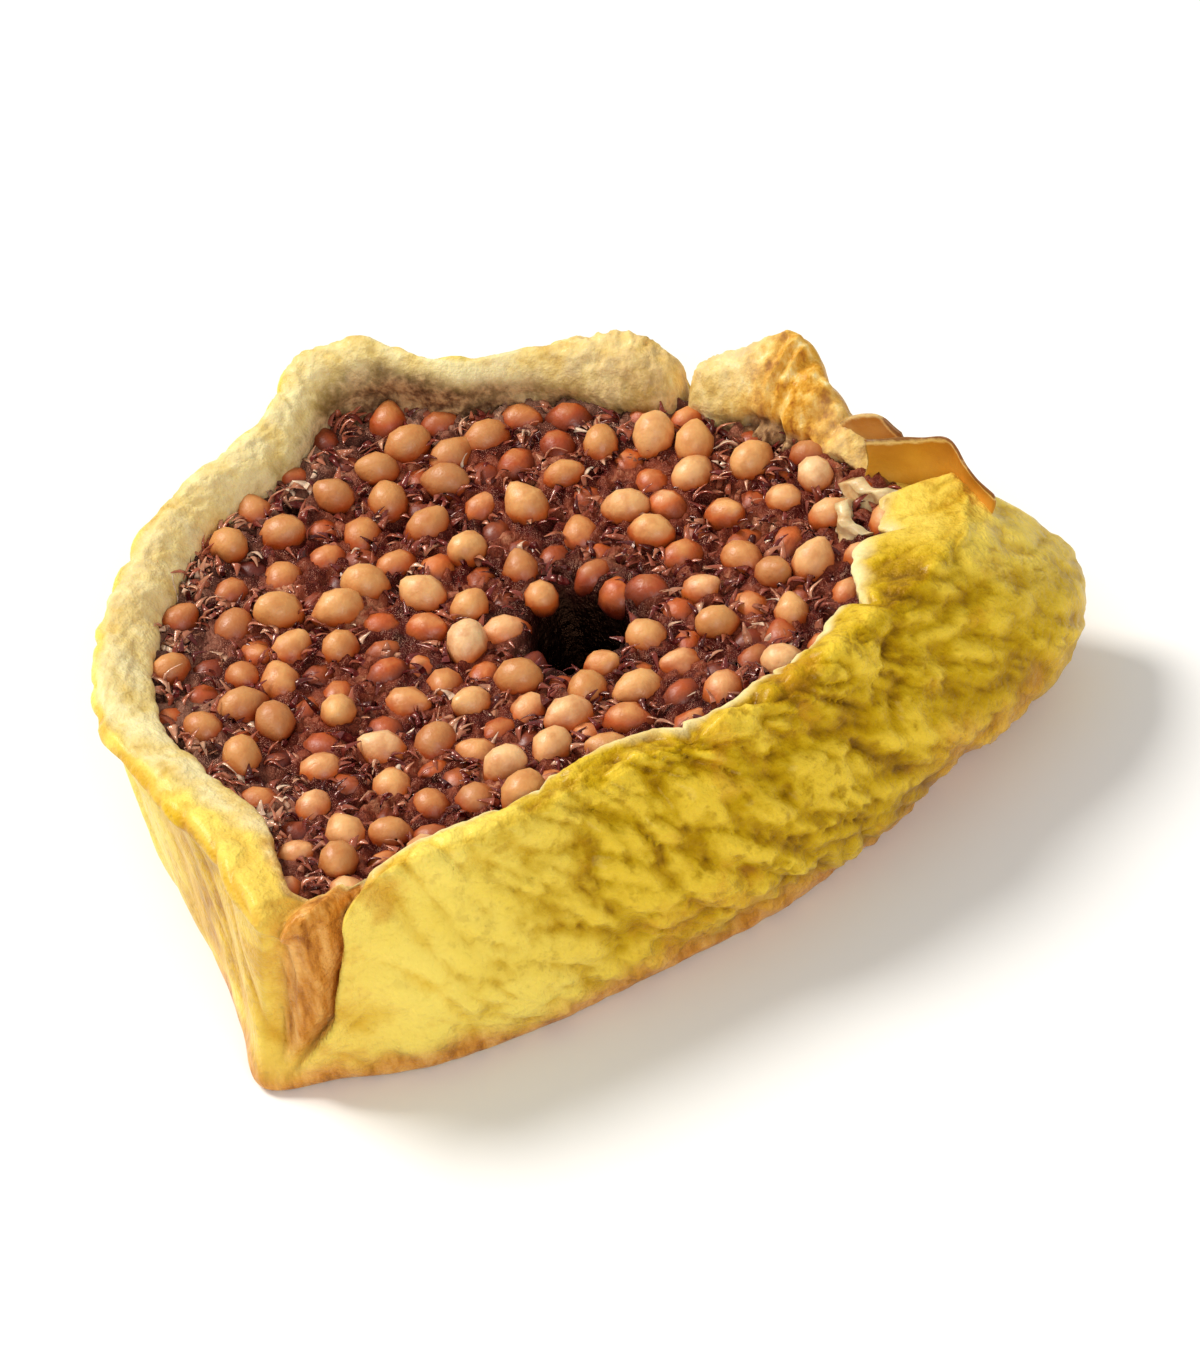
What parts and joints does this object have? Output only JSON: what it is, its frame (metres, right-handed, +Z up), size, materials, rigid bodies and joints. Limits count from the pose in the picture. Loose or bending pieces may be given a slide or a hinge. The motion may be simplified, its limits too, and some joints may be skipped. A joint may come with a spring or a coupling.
{
  "type": "dried fig slice",
  "caption": "Thick cross-cut slice of dried green fig: wrinkled skin curls in over seed-filled pulp on both cut faces, with a small hollow in the middle.",
  "frame": {"origin": "middle of the slice's bounding box, on the surface that it lies on", "axes": "+Z up out of the upper cut face, +X along the slice's longest way, towards its pointed end, -Y towards the side whose skin is curled in most"},
  "size_m": [0.0434, 0.0364, 0.0127],
  "materials": {
    "rind": "wrinkled yellow-green skin, browned in places, with a dry cream edge; satin",
    "pulp": "dark red-brown dried pulp with fine fibres; glossy in places",
    "seed": "smooth tan to orange-brown seeds; satin"
  },
  "bodies": {
    "root": {"fig_slice": "rind"}
  },
  "joints": []
}
